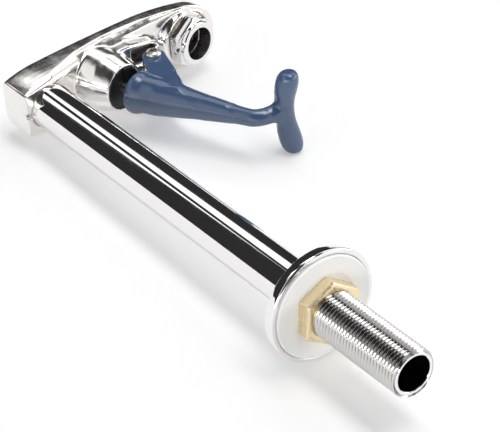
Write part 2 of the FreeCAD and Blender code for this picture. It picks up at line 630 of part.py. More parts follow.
# Waterways along the arm: inlet from the column's well to the upper chamber, outlet to the nozzle
inlet = new_sketch(arm, "InletWay", "XZ_Plane")
circle(inlet, "inlet_bore / 2", "0", "inlet_z")
pad(arm, "Inlet", inlet, "0 - valve_y - upper_top * sin(tilt * 1 deg)", kind="Pocket", midplane=False,
    reversed_=True)
outlet = new_sketch(arm, "OutletWay", "XZ_Plane", turn="tilt", axis=V(1, 0, 0))
outlet.setExpression("AttachmentOffset.Base.y", bound("valve_z + outlet_height * cos(tilt * 1 deg)"))
outlet.setExpression("AttachmentOffset.Base.z", bound("0 - valve_y - outlet_height * sin(tilt * 1 deg)"))
circle(outlet, "outlet_bore / 2")
OUTLET_LONG = "( valve_y - nozzle_y ) * cos(tilt * 1 deg) + ( nozzle_z - valve_z ) * sin(tilt * 1 deg)"
pad(arm, "Outlet", outlet, OUTLET_LONG, kind="Pocket", midplane=False, reversed_=True)

# Pivot hole with its bush, and the grub screw's hole through the tail's lower corner
pivot_hole = new_sketch(arm, "PivotHole", "YZ_Plane")
circle(pivot_hole, "pin_radius + bush_wall + thread_play / 2", "pivot_y", "pivot_z")
pad(arm, "PivotBore", pivot_hole, "lug_half * 2 + 2", kind="Pocket")
POINT = "( tail_y - thread_major / 2 - seat_gap ) * sqrt(2)"
bore(arm, "GrubHole", (
    ("0", "0 - 3"), ("grub_radius + thread_play", "0 - 3"), ("grub_radius + thread_play", POINT),
    ("0", POINT),
), y="tail_y", z="column_height", turn="grub_lean", axis=V(0, 0, 1))

grub = new_body("joint_set_screw")
grub.Placement = FreeCAD.Placement(V(0, size("tail_y"), size("column_height")),
                                   FreeCAD.Rotation(V(1, 0, 0), size("grub_lean")))
grub.setExpression("Placement.Base.y", bound("tail_y"))
grub.setExpression("Placement.Base.z", bound("column_height"))
grub.setExpression("Placement.Rotation.Angle", bound("grub_lean"))
revolve(grub, "Grub", (
    ("0", POINT + " - grub_length"), ("grub_radius", POINT + " - grub_length"),
    ("grub_radius", POINT + " - grub_radius"), ("0", POINT),
))
key = new_sketch(grub, "GrubKey", "XY_Plane", lift=POINT + " - grub_length")
KEY = "grub_key / 2 / cos(30 deg)"
polygon(key, ((KEY, "0"), (KEY + " / 2", "grub_key / 2"), ("0 - " + KEY + " / 2", "grub_key / 2"),
              ("0 - " + KEY, "0"), ("0 - " + KEY + " / 2", "0 - grub_key / 2"),
              (KEY + " / 2", "0 - grub_key / 2")))
pad(grub, "GrubSocket", key, "grub_key_deep", kind="Pocket", midplane=False, reversed_=True)

# Nozzle: round lip, hexagon, threaded spigot, open bore stepped for the flow straightener
nozzle = new_body("nozzle")
tilted(nozzle, *NOZZLE)
HEX_CORNER = "hex_across_flats / 2 / cos(30 deg)"
DISC_SEAT = "nozzle_bore / 2 - straightener_step"
DISC_FOOT = "nozzle_bore_depth + straightener_sink - seat_gap"
DISC_TOP = "nozzle_bore_depth + straightener_sink + straightener_thick"
revolve(nozzle, "NozzleBlank", (
    ("nozzle_bore / 2", "0"), ("lip_radius - lip_chamfer", "0"), ("lip_radius", "lip_chamfer"),
    ("lip_radius", "lip_height"), (HEX_CORNER + " - lip_chamfer * 2", "lip_height"),
    (HEX_CORNER, "lip_height + lip_chamfer"), (HEX_CORNER, "hex_top - lip_chamfer"),
    (HEX_CORNER + " - lip_chamfer * 2", "hex_top"), ("spigot_thread / 2", "hex_top"),
    ("spigot_thread / 2", "spigot_top"), ("spigot_bore / 2", "spigot_top"),
    ("spigot_bore / 2", DISC_TOP), (DISC_SEAT, DISC_TOP), (DISC_SEAT, "nozzle_bore_depth"),
    ("nozzle_bore / 2", "nozzle_bore_depth"),
))
hexagon_trim(nozzle, "NozzleFlats", "hex_across_flats", "hex_across_flats", "lip_height", "hex_top")
turned("nozzle_gasket", (
    ("spigot_thread / 2 + loose_play", "hex_top + seat_gap"), ("lip_radius", "hex_top + seat_gap"),
    ("lip_radius", "hex_top + nozzle_gasket_thick - seat_gap"),
    ("spigot_thread / 2 + loose_play", "hex_top + nozzle_gasket_thick - seat_gap"),
), lean=NOZZLE)
disc = turned("flow_straightener", (
    ("0", DISC_FOOT), (DISC_SEAT + " - slide_play", DISC_FOOT),
    (DISC_SEAT + " - slide_play", DISC_TOP + " - seat_gap"), ("0", DISC_TOP + " - seat_gap"),
), lean=NOZZLE)
holes = new_sketch(disc, "StraightenerHoles", "XY_Plane", lift=DISC_FOOT)
circle(holes, "straightener_hole")
for step in range(6):
    way = "%d deg" % (60 * step)
    circle(holes, "straightener_hole", "straightener_ring * cos(%s)" % way,
        "straightener_ring * sin(%s)" % way)
pad(disc, "StraightenerBores", holes, "straightener_thick", kind="Pocket", midplane=False, reversed_=True)

# Valve: bonnet, gasket, O-ring, stem, retainer, spring, seal and seat
STEM_BORE = "stem_radius + slide_play"
bonnet = turned("valve_bonnet", (
    (STEM_BORE, "bonnet_sink"), ("mouth_bore / 2 - slide_play * 2 - flange_chamfer", "bonnet_sink"),
    ("mouth_bore / 2 - slide_play * 2", "bonnet_sink + flange_chamfer"),
    ("mouth_bore / 2 - slide_play * 2", "mouth_depth - bonnet_gasket_thick"),
    ("bonnet_thread / 2", "mouth_depth - bonnet_gasket_thick"), ("bonnet_thread / 2", "bonnet_reach"),
    ("bonnet_cup / 2", "bonnet_reach"), ("bonnet_cup / 2", "bonnet_cup_floor"),
    (STEM_BORE, "bonnet_cup_floor"),
    (STEM_BORE, "gland_top"), ("gland_bore / 2", "gland_top"), ("gland_bore / 2", "gland_floor"),
    (STEM_BORE, "gland_floor"),
), lean=VALVE)
slot = new_sketch(bonnet, "BonnetSlot", "XY_Plane", lift="bonnet_sink")
polygon(slot, (("mouth_bore", "slot_wide / 2"), ("0 - mouth_bore", "slot_wide / 2"),
               ("0 - mouth_bore", "0 - slot_wide / 2"), ("mouth_bore", "0 - slot_wide / 2")))
pad(bonnet, "BonnetKeyway", slot, "slot_deep", kind="Pocket", midplane=False, reversed_=True)
turned("bonnet_gasket", (
    ("bonnet_thread / 2 + loose_play / 5", "mouth_depth - bonnet_gasket_thick + seat_gap"),
    ("mouth_bore / 2 - slide_play", "mouth_depth - bonnet_gasket_thick + seat_gap"),
    ("mouth_bore / 2 - slide_play", "mouth_depth - seat_gap"),
    ("bonnet_thread / 2 + loose_play / 5", "mouth_depth - seat_gap"),
), lean=VALVE)
ring("stem_o_ring", "stem_ring_cord", "( stem_radius + slide_play + stem_ring_cord / 2 )",
     "( gland_floor + gland_top ) / 2", lean=VALVE)
DISC_FLOOR = "seal_rest + seal_thick"
GROOVE = "stem_radius - retainer_groove"
turned("valve_stem", (
    ("0", "0 - stem_drop"), ("stem_radius * 0.4", "stem_dome * 0.1 - stem_drop"),
    ("stem_radius * 0.8", "stem_dome * 0.4 - stem_drop"), ("stem_radius", "stem_dome - stem_drop"),
    ("stem_radius", "retainer_z"), (GROOVE, "retainer_z"), (GROOVE, "retainer_z + retainer_thick"),
    ("stem_radius", "retainer_z + retainer_thick"), ("stem_radius", DISC_FLOOR),
    ("stem_disc_radius", DISC_FLOOR), ("stem_disc_radius", DISC_FLOOR + " + stem_disc_thick"),
    ("0", DISC_FLOOR + " + stem_disc_thick"),
), lean=VALVE)
turned("valve_seal", (
    ("stem_radius + seat_gap", "seal_rest"), ("seal_radius", "seal_rest"),
    ("seal_radius", DISC_FLOOR + " - seat_gap"), ("stem_radius + seat_gap", DISC_FLOOR + " - seat_gap"),
), lean=VALVE)
turned("spring_retainer", (
    (GROOVE + " + seat_gap", "retainer_z + seat_gap"), ("retainer_radius", "retainer_z + seat_gap"),
    ("retainer_radius", "retainer_z + retainer_thick - seat_gap"),
    (GROOVE + " + seat_gap", "retainer_z + retainer_thick - seat_gap"),
), lean=VALVE)
turned("valve_seat", (
    ("seat_hole / 2", "seat_bottom"), ("seat_thread / 2", "seat_bottom"),
    ("seat_thread / 2", "seat_groove_z"),
    ("seat_thread / 2 - seat_ring_sink", "seat_groove_z"),
    ("seat_thread / 2 - seat_ring_sink", "seat_groove_z + seat_ring_cord"),
    ("seat_thread / 2", "seat_groove_z + seat_ring_cord"), ("seat_thread / 2", "seat_ledge - seat_gap"),
    ("seat_lip_radius", "seat_ledge - seat_gap"), ("seat_lip_radius", "seal_rest - seat_gap"),
    ("seat_hole / 2", "seal_rest - seat_gap"),
), lean=VALVE)
ring("seat_o_ring", "( seat_ring_sink - seat_gap )",
     "( seat_thread / 2 - seat_ring_sink / 2 )", "seat_groove_z + seat_ring_cord / 2", lean=VALVE)
spring = new_body("valve_spring")
tilted(spring, *VALVE)
wire = new_sketch(spring, "SpringWire", "XZ_Plane")
circle(wire, "spring_wire / 2", "spring_radius", "retainer_z + retainer_thick + spring_wire / 2")
coil = spring.newObject("PartDesign::AdditiveHelix", "SpringCoil")
coil.Profile = wire
coil.ReferenceAxis = (wire, ["V_Axis"])
coil.Mode = 0
SPAN = "( seat_bottom - retainer_z - retainer_thick - spring_wire )"
coil.setExpression("Height", bound(SPAN))
coil.setExpression("Pitch", bound(SPAN + " / spring_turns"))
settle(spring, coil)

# Lever: base disc, cone, forked ears, T bar, and the recess for its pad
lever = new_body("lever")
BASE_Y = "( valve_y - lever_drop * sin(tilt * 1 deg) - lever_base_shift * cos(tilt * 1 deg) )"
BASE_Z = "( valve_z - lever_drop * cos(tilt * 1 deg) + lever_base_shift * sin(tilt * 1 deg) )"
LEAN = "atan(( %s - elbow_y ) / ( %s - elbow_z ))" % (BASE_Y, BASE_Z)
REACH = "sqrt(( %s - elbow_y ) ^ 2 + ( %s - elbow_z ) ^ 2)" % (BASE_Y, BASE_Z)
revolve(lever, "LeverBase", (
    ("0", "0"), ("lever_base_radius - lever_base_round", "0"), ("lever_base_radius", "0 - lever_base_round"),
    ("lever_base_radius - 0.2", "0 - lever_base_rim"), ("lever_base_neck", "0 - lever_base_depth"),
    ("0", "0 - lever_base_depth"),
), role="YZ_Plane", y=BASE_Y, z=BASE_Z, turn="tilt")
revolve(lever, "LeverCone", (
    ("0", "0"), ("arm_tip_radius", "0"), ("arm_end_radius", REACH + " - arm_end_at"),
    ("arm_mid_radius", REACH + " - arm_mid_at"), ("shoulder_radius", REACH + " - shoulder_at"),
    ("lever_base_radius - lever_base_round", REACH + " - lever_base_rim"), ("0", REACH + " - lever_base_rim"),
), role="YZ_Plane", y="elbow_y", z="elbow_z", turn=LEAN)
for bend in ("elbow", "knee"):
    ball = lever.newObject("PartDesign::AdditiveSphere", "Lever" + bend.title())
    ball.setExpression("Radius", bound("arm_tip_radius + seat_gap"))
    ball.setExpression("Placement.Base.y", bound(bend + "_y"))
    ball.setExpression("Placement.Base.z", bound(bend + "_z"))
    settle(lever, ball)
BEND = "sqrt(( elbow_y - knee_y ) ^ 2 + ( elbow_z - knee_z ) ^ 2)"
revolve(lever, "LeverBend", (
    ("0", "0"), ("arm_tip_radius", "0"), ("arm_tip_radius", BEND), ("0", BEND),
), role="YZ_Plane", y="knee_y", z="knee_z", turn="90 deg - atan(( elbow_z - knee_z ) / ( elbow_y - knee_y ))")
NECK = "sqrt(( knee_y - bar_y ) ^ 2 + ( knee_z - bar_z ) ^ 2)"
revolve(lever, "LeverNeck", (
    ("0", "0"), ("neck_radius", "0"), ("arm_tip_radius", NECK + " * 0.7"), ("arm_tip_radius", NECK),
    ("0", NECK),
), role="YZ_Plane", y="bar_y", z="bar_z", turn="90 deg - atan(( knee_z - bar_z ) / ( knee_y - bar_y ))")
ears = new_sketch(lever, "EarSide", "YZ_Plane")
polygon(ears, (
    ("pivot_y - ear_radius", "pivot_z"), ("ear_front_y", "ear_front_z"),
    (BASE_Y + " - 9", "ear_front_z - 7"),
    (BASE_Y, "ear_back_z - 9"), ("pivot_y + ear_radius + 4", "ear_back_z"),
    ("pivot_y + ear_radius", "pivot_z"),
))
pad(lever, "EarWeb", ears, "fork_half * 2")
eye = new_sketch(lever, "EarEye", "YZ_Plane")
circle(eye, "ear_radius", "pivot_y", "pivot_z")
pad(lever, "EarRound", eye, "fork_half * 2")

bar_sections = []
HALF_BAR = (
    ("bar_half", "2.2", "bar_sweep * 1.5"),
    ("bar_half - 1.1", "bar_lobe_radius * 0.78", "bar_sweep * 1.4"),
    ("bar_lobe_x", "bar_lobe_radius", "bar_sweep"),
    ("bar_lobe_x / 2", "bar_mid_radius * 1.08", "bar_sweep * 0.3"),
)
BAR = [("0 - ( %s )" % across, radius, forward) for across, radius, forward in HALF_BAR]
BAR += [("0", "bar_mid_radius", "0")] + list(reversed(HALF_BAR))
for number, (across, radius, forward) in enumerate(BAR):
    section = new_sketch(lever, "BarSection%d" % number, "YZ_Plane", lift=across)
    circle(section, radius, "bar_y - %s / 2" % forward, "bar_z - " + forward)
    bar_sections.append(section)
bar = lever.newObject("PartDesign::AdditiveLoft", "LeverBar")
bar.Profile = bar_sections[0]
bar.Sections = [(section, [""]) for section in bar_sections[1:]]
settle(lever, bar)

fork = new_sketch(lever, "ForkSlot", "YZ_Plane")
FLOOR = "pivot_z - lug_radius - slot_play"
polygon(fork, (
    ("pivot_y - ear_radius - 6", "pivot_z + ear_radius + 2"), ("pivot_y - ear_radius - 6", FLOOR),
    ("pivot_y + ear_radius * 0.6", FLOOR), ("pivot_y + ear_radius + 9", FLOOR + " - 2"),
    ("pivot_y + ear_radius + 9", "pivot_z + ear_radius + 2"),
))
pad(lever, "Fork", fork, "lug_half * 2 + fork_play * 2", kind="Pocket")
pin = new_sketch(lever, "PinHole", "YZ_Plane")
circle(pin, "pin_radius + seat_gap", "pivot_y", "pivot_z")
pad(lever, "PinBore", pin, "fork_half * 2 + 2", kind="Pocket")
PAD_TOP = "0 - stem_drop - seat_gap"
revolve(lever, "PadRecess", (
    ("0", PAD_TOP + " - pad_thick - seat_gap"),
    ("pad_radius + slide_play", PAD_TOP + " - pad_thick - seat_gap"),
    ("pad_radius + slide_play", PAD_TOP + " + 3"), ("0", PAD_TOP + " + 3"),
), kind="Groove", role="YZ_Plane", y="valve_y", z="valve_z", turn="tilt")
turned("lever_pad", (
    ("0", PAD_TOP + " - pad_thick"), ("pad_radius", PAD_TOP + " - pad_thick"),
    ("pad_radius", PAD_TOP + " - lip_chamfer"), ("pad_radius - lip_chamfer", PAD_TOP), ("0", PAD_TOP),
), lean=VALVE)

# Pivot screw with a cross recess, and its bush
screw = new_body("pivot_screw")
screw.Placement = FreeCAD.Placement(V(0, size("pivot_y"), size("pivot_z")), FreeCAD.Rotation(V(0, 1, 0), 90))
screw.setExpression("Placement.Base.y", bound("pivot_y"))
screw.setExpression("Placement.Base.z", bound("pivot_z"))
HEAD = "0 - fork_half - seat_gap"
revolve(screw, "ScrewBody", (
    ("0", HEAD + " - head_thick"), ("head_radius - head_round * 1.6", HEAD + " - head_thick"),
    ("head_radius - head_round * 0.5", HEAD + " - head_thick + head_round * 0.5"),
    ("head_radius", HEAD + " - head_thick + head_round * 1.5"), ("head_radius", HEAD),
    ("pin_radius", HEAD), ("pin_radius", "fork_half - lip_chamfer"),
    ("pin_radius - lip_chamfer", "fork_half"),
    ("0", "fork_half"),
))
cross = new_sketch(screw, "CrossRecess", "XY_Plane", lift=HEAD + " - head_thick")
SHORT = "cross_wide / 2"
LONG = "cross_long / 2"
CORNERS = ((LONG, SHORT), (SHORT, SHORT), (SHORT, LONG))
polygon(cross, (
    *CORNERS, *[("0 - " + x, y) for x, y in reversed(CORNERS)],
    *[("0 - " + x, "0 - " + y) for x, y in CORNERS], *[(x, "0 - " + y) for x, y in reversed(CORNERS)],
))
pad(screw, "ScrewCross", cross, "cross_deep", kind="Pocket", midplane=False, reversed_=True)
bush = new_body("pivot_bush")
bush.Placement = FreeCAD.Placement(V(0, size("pivot_y"), size("pivot_z")), FreeCAD.Rotation(V(0, 1, 0), 90))
bush.setExpression("Placement.Base.y", bound("pivot_y"))
bush.setExpression("Placement.Base.z", bound("pivot_z"))
revolve(bush, "BushWall", (
    ("pin_radius + slide_play", "0 - lug_half"), ("pin_radius + bush_wall", "0 - lug_half"),
    ("pin_radius + bush_wall", "lug_half"), ("pin_radius + slide_play", "lug_half"),
))

# Check everything, then write each piece
doc.recompute()
for item in doc.Objects:
    if "Invalid" in item.State or "Error" in item.State:
        raise SystemExit("%s: %s" % (item.Label, item.getStatusString()))
os.makedirs("parts", exist_ok=True)
for body in doc.Objects:
    if body.TypeId != "PartDesign::Body":
        continue
    shape = body.Shape
    if shape.isNull() or not shape.isValid() or len(shape.Solids) != 1:
        raise SystemExit("%s: %d solids, valid %s" % (body.Label, len(shape.Solids), shape.isValid()))
    shape.exportStep("parts/%s.step" % body.Label)
    box = shape.BoundBox
    print("%-18s %9.1f mm3  x %.1f..%.1f  y %.1f..%.1f  z %.1f..%.1f" % (
        body.Label, shape.Volume, box.XMin, box.XMax, box.YMin, box.YMax, box.ZMin, box.ZMax))
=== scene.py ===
# %% [markdown]
# # A glass filler faucet, lying on a white floor
# The frame holds every piece of the faucet at its real size, as solids with crisp edges. This lesson
# dresses them. It winds a thread on the pipe, softens the cast arm and the moulded lever, gives the
# chrome, the brass and the plastic their finishes, and paints a studio whose overhead panels draw
# the white stripes on the column.

# %% Load the frame
import json
import math

import bpy
from mathutils import Matrix, Vector


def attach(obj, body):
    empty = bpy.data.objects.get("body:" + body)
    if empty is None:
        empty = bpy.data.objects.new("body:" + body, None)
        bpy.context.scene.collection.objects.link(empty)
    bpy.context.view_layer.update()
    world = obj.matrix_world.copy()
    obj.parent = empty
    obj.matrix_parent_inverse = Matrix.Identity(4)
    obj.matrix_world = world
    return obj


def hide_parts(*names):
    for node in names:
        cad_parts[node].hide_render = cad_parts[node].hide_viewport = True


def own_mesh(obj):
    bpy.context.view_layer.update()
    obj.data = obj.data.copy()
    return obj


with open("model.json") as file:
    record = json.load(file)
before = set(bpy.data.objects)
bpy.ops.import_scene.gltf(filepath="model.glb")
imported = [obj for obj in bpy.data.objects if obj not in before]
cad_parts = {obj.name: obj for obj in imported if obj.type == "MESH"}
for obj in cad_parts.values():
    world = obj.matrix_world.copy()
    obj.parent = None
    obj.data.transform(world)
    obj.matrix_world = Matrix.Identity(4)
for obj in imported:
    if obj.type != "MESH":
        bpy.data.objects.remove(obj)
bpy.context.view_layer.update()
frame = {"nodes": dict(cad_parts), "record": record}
nodes = frame["nodes"]
MM = 0.001

# %% [markdown]
# ## Camera
# The photograph looks down on the faucet through a long lens from some way off, so the column
# narrows only a little. A camera could be turned towards a point of the faucet, but then its roll is
# left open. Here its place and its two directions are given, as they were fitted to the edges of
# the column and the flange, and the second direction is squared up to the first.

# %% Camera
FOCAL_LENGTH = 165.0
SENSOR_WIDTH = 36
CAMERA_PLACE = Vector((-0.5508, 0.4164, -0.5813))
CAMERA_FORWARD = Vector((0.5761, -0.4516, 0.6813))
CAMERA_RIGHT = Vector((0.0739, -0.8013, -0.5936))

lens = bpy.data.cameras.new("photo_camera")
lens.lens = FOCAL_LENGTH
lens.sensor_width = SENSOR_WIDTH
lens.clip_start = 0.01
lens.clip_end = 50
camera = bpy.data.objects.new("photo_camera", lens)
bpy.context.scene.collection.objects.link(camera)
bpy.context.scene.camera = camera

forward = CAMERA_FORWARD.normalized()
right = (CAMERA_RIGHT - forward * CAMERA_RIGHT.dot(forward)).normalized()
up = right.cross(forward)
facing = Matrix((right, up, -forward)).transposed().to_4x4()
camera.matrix_world = Matrix.Translation(CAMERA_PLACE) @ facing
print("camera", tuple(CAMERA_PLACE), "angle of view", round(math.degrees(lens.angle), 2))

# %% [markdown]
# ## Finishes
# A finish could be one flat colour, but real metal and plastic are never even. So each finish here
# is a Principled shader whose roughness, colour or relief follows a noise. The noise reads the
# object's own coordinates, which keeps it in place on the piece when the lever moves. These two
# helpers make a material and add one node to it.

# %% Helpers for a finish
def new_material(name, color, metallic=0.0, roughness=0.4, **sockets):
    material = bpy.data.materials.new(name)
    material.use_nodes = True
    shader = material.node_tree.nodes["Principled BSDF"]
    shader.inputs["Base Color"].default_value = (*color, 1)
    shader.inputs["Metallic"].default_value = metallic
    shader.inputs["Roughness"].default_value = roughness
    for socket, value in sockets.items():
        shader.inputs[socket.replace("_", " ")].default_value = value
    print("finish", name)
    return material


def add_node(tree, kind, inputs=None, **settings):
    """Add a node, with each input given as a value or as the socket that feeds it."""
    node = tree.nodes.new(kind)
    for name, value in settings.items():
        setattr(node, name, value)
    for name, value in (inputs or {}).items():
        if isinstance(value, bpy.types.NodeSocket):
            tree.links.new(value, node.inputs[name])
        else:
            node.inputs[name].default_value = value
    return node


# %% [markdown]
# ## Polished chrome
# The column, the flange and the nozzle are turned, polished and plated, so they mirror the room. A
# perfect mirror looks drawn. A broad noise that moves the roughness by a few hundredths gives the
# slight haze that a hand leaves on it.

# %% Polished chrome
def noise(material, scale, detail, stretch=(1, 1, 1)):
    """A noise on the piece's own coordinates, stretched where the finish has a grain."""
    tree = material.node_tree
    place = add_node(tree, "ShaderNodeTexCoord")
    move = add_node(tree, "ShaderNodeMapping", {"Vector": place.outputs["Object"], "Scale": stretch})
    cloud = add_node(tree, "ShaderNodeTexNoise", {
        "Vector": move.outputs["Vector"], "Scale": scale, "Detail": detail, "Roughness": 0.6})
    return cloud.outputs["Fac"]


def vary_roughness(material, source, low, high):
    """Let a noise move the roughness between two values."""
    tree = material.node_tree
    spread = add_node(tree, "ShaderNodeMapRange", {
        "Value": source, "From Min": 0.3, "From Max": 0.7, "To Min": low, "To Max": high})
    tree.links.new(spread.outputs["Result"], tree.nodes["Principled BSDF"].inputs["Roughness"])


chrome = new_material("chrome", (0.86, 0.85, 0.85), metallic=1.0, roughness=0.05)
vary_roughness(chrome, noise(chrome, 90, 4), 0.03, 0.08)

# %% [markdown]
# ## Chrome over a casting
# The arm is cast, ground by hand and then plated. Its skin waves a little, its sides show the long
# strokes of the belt, and each side bulges gently between its two edges, which the solid leaves
# flat. All three are relief that a Bump node gives without one face more: the bulge is a parabola
# about a line that follows the side, the strokes are a noise stretched along the arm, and the waves
# are a finer noise. Each bump hands its normal on to the next.

# %% Chrome over a casting
SIDE_LINE_HEIGHT = 0.2105
SIDE_LINE_FALL = 0.045
SIDE_BULGE = -3.4


def bump(material, source, strength, distance, under=None):
    """Raise a relief on the finish, on top of another one where that is given."""
    tree = material.node_tree
    relief = add_node(tree, "ShaderNodeBump", {
        "Height": source, "Strength": strength, "Distance": distance})
    if under:
        tree.links.new(under.outputs["Normal"], relief.inputs["Normal"])
    tree.links.new(relief.outputs["Normal"], tree.nodes["Principled BSDF"].inputs["Normal"])
    return relief


def math_node(tree, operation, *values):
    return add_node(tree, "ShaderNodeMath", dict(enumerate(values)), operation=operation).outputs[0]


cast_chrome = new_material("cast_chrome", (0.87, 0.85, 0.83), metallic=1.0, roughness=0.08)
vary_roughness(cast_chrome, noise(cast_chrome, 240, 4), 0.12, 0.26)
tree = cast_chrome.node_tree
place = add_node(tree, "ShaderNodeTexCoord")
axes = add_node(tree, "ShaderNodeSeparateXYZ", {0: place.outputs["Object"]})
line = math_node(tree, "MULTIPLY_ADD", axes.outputs["Y"], SIDE_LINE_FALL, -SIDE_LINE_HEIGHT)
offset = math_node(tree, "ADD", axes.outputs["Z"], line)
bulge = math_node(tree, "MULTIPLY", math_node(tree, "POWER", offset, 2.0), SIDE_BULGE)
bulged = bump(cast_chrome, bulge, 1.0, 1.0)
stroked = bump(cast_chrome, noise(cast_chrome, 160, 2, (1, 0.12, 1)), 0.4, 0.0002, bulged)
bump(cast_chrome, noise(cast_chrome, 420, 3), 0.3, 0.00006, stroked)

# %% [markdown]
# ## Painted shade in the recess and the bore
# The belt never reaches the recess round the lug, and the nozzle's bore is drilled and left, so
# both stay dull where the outside shines. Their dark colour is painted shade, for the shade that
# falls into them. The recess keeps the grain of the mould, a noise that varies its dark colour and its
# relief together. The bore has no grain, only a dull reflection.

# %% Painted shade of the recess and the bore
def tint(material, source, dark, light, start=0.3, end=0.7):
    """Let a source between two values mix two base colours."""
    tree = material.node_tree
    ramp = add_node(tree, "ShaderNodeValToRGB", {"Fac": source})
    for element, position, color in zip(ramp.color_ramp.elements, (start, end), (dark, light)):
        element.position = position
        element.color = (*color, 1)
    tree.links.new(ramp.outputs["Color"], tree.nodes["Principled BSDF"].inputs["Base Color"])


# Painted shade: the recess is painted dark for the shade in it, and it is rough because it is unpolished.
recess_painted_shade = new_material("recess_painted_shade", (0.10, 0.09, 0.085), metallic=0.9, roughness=0.5)
grain = noise(recess_painted_shade, 600, 4)
tint(recess_painted_shade, grain, (0.05, 0.046, 0.043), (0.17, 0.155, 0.145))
bump(recess_painted_shade, grain, 0.4, 0.0002)

# Painted shade: the bore is painted dark grey for the shade inside it.
bore_painted_shade = new_material("bore_painted_shade", (0.24, 0.235, 0.23), metallic=1.0, roughness=0.3)
vary_roughness(bore_painted_shade, noise(bore_painted_shade, 500, 3), 0.22, 0.4)

# %% [markdown]
# ## Chrome on a thread
# Plating reaches the crests of a thread and hardly its roots, and dirt stays in them, so the roots are
# darker; their dark colour is also painted shade, for the shade that falls into the grooves. The colour
# could be painted face by face, but the distance from the pipe's axis already tells crest from root. So
# that distance, the length of the coordinates without their height, mixes the dark and the bright colour.

# %% Chrome on a thread
DARK_RADIUS = 9.4 * MM
BRIGHT_RADIUS = 10.3 * MM

thread_chrome = new_material("thread_chrome", (0.86, 0.85, 0.85), metallic=1.0, roughness=0.12)
tree = thread_chrome.node_tree
place = add_node(tree, "ShaderNodeTexCoord")
flat = add_node(tree, "ShaderNodeVectorMath", {0: place.outputs["Object"], 1: (1, 1, 0)},
                operation="MULTIPLY")
radius = add_node(tree, "ShaderNodeVectorMath", {0: flat.outputs[0]}, operation="LENGTH")
# Dirt and painted shade: the roots' dark colour stands partly for the shade in the grooves.
tint(thread_chrome, radius.outputs["Value"], (0.22, 0.215, 0.21), (0.86, 0.85, 0.84),
     DARK_RADIUS, BRIGHT_RADIUS)
vary_roughness(thread_chrome, noise(thread_chrome, 300, 3), 0.06, 0.2)

# %% [markdown]
# ## Blue lever
# The lever is moulded in blue plastic with a glossy skin. Its gloss comes from a stronger specular
# reflection and not from a coat, which would add a second sharp highlight. The colour drifts
# between two close blues, as pigment does, and a very fine grain breaks up the reflections.

# %% Blue lever
blue = new_material("lever_blue", (0.055, 0.11, 0.23), roughness=0.2, Specular_IOR_Level=0.9)
vary_roughness(blue, noise(blue, 110, 2, (1, 1, 0.3)), 0.14, 0.26)
bump(blue, noise(blue, 900, 2), 0.08, 0.0001)
tint(blue, noise(blue, 60, 3), (0.049, 0.092, 0.192), (0.059, 0.11, 0.22))

# %% [markdown]
# ## White washer, black bonnet and rubber
# These are matt. A matt piece could do with a plain colour alone, but then its highlight has an edge
# as clean as a drawing's. A grain too fine to be seen as such breaks up that edge.

# %% White washer, black bonnet and rubber
white_plastic = new_material("washer_white", (0.97, 0.97, 0.965), roughness=0.5)
black_plastic = new_material("bonnet_black", (0.012, 0.011, 0.011), roughness=0.35)
rubber = new_material("rubber", (0.02, 0.02, 0.02), roughness=0.6)
for matt, grain_scale, grain_strength in (
        (white_plastic, 1400, 0.1), (black_plastic, 1400, 0.15), (rubber, 1500, 0.15)):
    bump(matt, noise(matt, grain_scale, 2), grain_strength, 0.0001)

# %% [markdown]
# ## Brass, stainless steel and fibre
# The nut and the seat of the valve are brass straight from the lathe: their noise is squeezed along
# the axis, as the marks of the tool run round it. The screws, the stem and the spring are stainless
# steel, duller than chrome. The flat gaskets are pressed fibre, whose colour is mottled.

# %% Brass, stainless steel and fibre
brass = new_material("brass", (0.9, 0.76, 0.5), metallic=1.0, roughness=0.34)
grain = noise(brass, 500, 3, (1, 1, 4))
vary_roughness(brass, grain, 0.22, 0.42)
bump(brass, grain, 0.1, 0.0002)

steel = new_material("stainless", (0.62, 0.61, 0.59), metallic=1.0, roughness=0.25)
vary_roughness(steel, noise(steel, 700, 3), 0.18, 0.36)

fibre = new_material("fibre", (0.55, 0.42, 0.30), roughness=0.7)
tint(fibre, noise(fibre, 800, 4), (0.45, 0.33, 0.22), (0.62, 0.48, 0.35))

# %% [markdown]
# ## Finishes on the solids
# The record of the frame names the finish of each piece, so one loop hands them out. The screws, the
# washer, the bonnet and most of what is hidden inside need no more than that. What is dressed
# further below is a copy or a new mesh, so the solids themselves stay as they came.

# %% Finishes on the solids
FINISH = {"chrome": chrome, "lever_blue": blue, "washer_white": white_plastic,
          "bonnet_black": black_plastic, "brass": brass, "stainless": steel, "rubber": rubber,
          "fibre": fibre}
for part in frame["record"]["subparts"]:
    mesh = nodes[part["node"]].data
    mesh.materials.clear()
    mesh.materials.append(FINISH[part["material_slot"]])
    print(part["node"], part["material_slot"])


# %% [markdown]
# ## Helpers for a piece
# A new piece rides with one body of the frame, has the slot of its finish, and takes the place of
# the solid that it dresses. Operators act on whatever is selected, so each helper first selects its
# piece alone. A copy of a solid comes as loose triangles, which are merged before anything else.

# %% Helpers for a piece
MERGE_DISTANCE = 0.001 * MM


def activate(obj):
    bpy.ops.object.select_all(action="DESELECT")
    obj.select_set(True)
    bpy.context.view_layer.objects.active = obj


def add_piece(name, mesh, body, material, replaced=()):
    obj = bpy.data.objects.new(name, mesh)
    bpy.context.scene.collection.objects.link(obj)
    mesh.materials.clear()
    mesh.materials.append(material)
    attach(obj, body)
    if replaced:
        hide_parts(*replaced)
    return obj


def add_copy(name, node, body, material):
    """A merged copy of a solid that takes the solid's place."""
    piece = add_piece(name, nodes[node].data.copy(), body, material, (node,))
    activate(piece)
    bpy.ops.object.mode_set(mode="EDIT")
    bpy.ops.mesh.select_all(action="SELECT")
    bpy.ops.mesh.remove_doubles(threshold=MERGE_DISTANCE)
    bpy.ops.object.mode_set(mode="OBJECT")
    return piece


